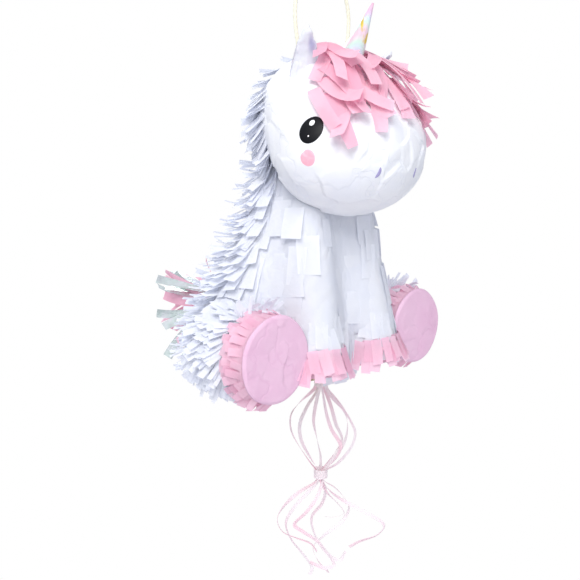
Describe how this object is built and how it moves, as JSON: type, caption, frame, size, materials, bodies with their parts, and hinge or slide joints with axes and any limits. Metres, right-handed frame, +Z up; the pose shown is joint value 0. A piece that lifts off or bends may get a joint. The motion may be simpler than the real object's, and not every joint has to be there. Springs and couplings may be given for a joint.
{
  "type": "pull-string pinata",
  "caption": "Sitting unicorn party pinata in card and tissue fringe, with a filling flap, a base trap door, pull ribbons and a hanging cord.",
  "frame": {"origin": "point inside the top of the hanging cord where a hook carries it", "axes": "+Z up, the face looks along -Y, the unicorn's left is +X"},
  "size_m": [0.324, 0.3888, 0.6914],
  "materials": {
    "card": "matt greyboard, papered over",
    "white_tissue": "cut tissue-paper fringe",
    "pink_tissue": "cut tissue-paper fringe",
    "pasted_paper": "smooth tissue paper pasted down with creases",
    "lining_paper": "matt tissue paper",
    "sole_paper": "smooth pasted tissue paper with creases",
    "iridescent_foil": "pearly film with gold flecks",
    "silver_foil": "thin metallised film",
    "black_print": "glossy printed sticker",
    "lilac_print": "printed mark",
    "pink_print": "printed sticker",
    "cord": "twisted cotton",
    "ribbon": "thin curling ribbon",
    "dowel": "bare"
  },
  "bodies": {
    "pinata": {"body_shell": "card", "base_panel": "card", "head_shell": "card", "neck_collar": "card", "face_paper": "pasted_paper", "head_fringe": "white_tissue", "hem_fringe": "white_tissue", "rump_fringe": "white_tissue", "hip_fringe": "white_tissue", "waist_fringe": "white_tissue", "shoulder_fringe": "white_tissue", "nape_fringe": "white_tissue", "forelock": "pink_tissue", "horn": "iridescent_foil", "ear_right": "pasted_paper", "ear_left": "pasted_paper", "ear_lining_right": "lining_paper", "ear_lining_left": "lining_paper", "eye_right": "black_print", "eye_left": "black_print", "cheek_stickers": "pink_print", "nostril_marks": "lilac_print", "hind_leg_right": "card", "hind_leg_left": "card", "hind_sole_right": "sole_paper", "hind_sole_left": "sole_paper", "hind_hoof_fringe_right": "pink_tissue", "hind_hoof_fringe_left": "pink_tissue", "hind_leg_fringe_right": "white_tissue", "hind_leg_fringe_left": "white_tissue", "front_leg_right": "card", "front_leg_left": "card", "front_sole_right": "sole_paper", "front_sole_left": "sole_paper", "front_hoof_fringe_right": "pink_tissue", "front_hoof_fringe_left": "pink_tissue", "front_leg_fringe_right": "white_tissue", "front_leg_fringe_left": "white_tissue", "tail_stem": "card", "tail_pink_strips": "pink_tissue", "tail_foil_strips": "silver_foil", "hanger_plate": "card", "hanging_cord": "cord", "cord_knots": "cord"},
    "flap": {"fill_flap": "card", "fill_flap_fringe": "white_tissue"},
    "door": {"trap_door": "card", "toggle_bar": "dowel"},
    "pull": {"ribbon_1": "ribbon", "ribbon_2": "ribbon", "ribbon_3": "ribbon", "ribbon_4": "ribbon", "ribbon_5": "ribbon", "ribbon_6": "ribbon", "ribbon_7": "ribbon", "ribbon_collar": "ribbon", "gather_band": "ribbon"}
  },
  "joints": [
    {"name": "flap_hinge", "type": "hinge", "parent": "pinata", "child": "flap", "pos_m": [0, 0.08853, -0.273], "axis": [1, 0, 0], "range_deg": [0, 95]},
    {"name": "door_hinge", "type": "hinge", "parent": "pinata", "child": "door", "pos_m": [0, 0.0834, -0.441], "axis": [1, 0, 0], "range_deg": [0, 95]},
    {"name": "pull_hinge", "type": "hinge", "parent": "door", "child": "pull", "pos_m": [0, 0, -0.4364], "axis": [1, 0, 0], "range_deg": [-95, 0]}
  ],
  "couplings": [
    {"joint": "pull_hinge", "follows": "door_hinge", "ratio": -1}
  ]
}
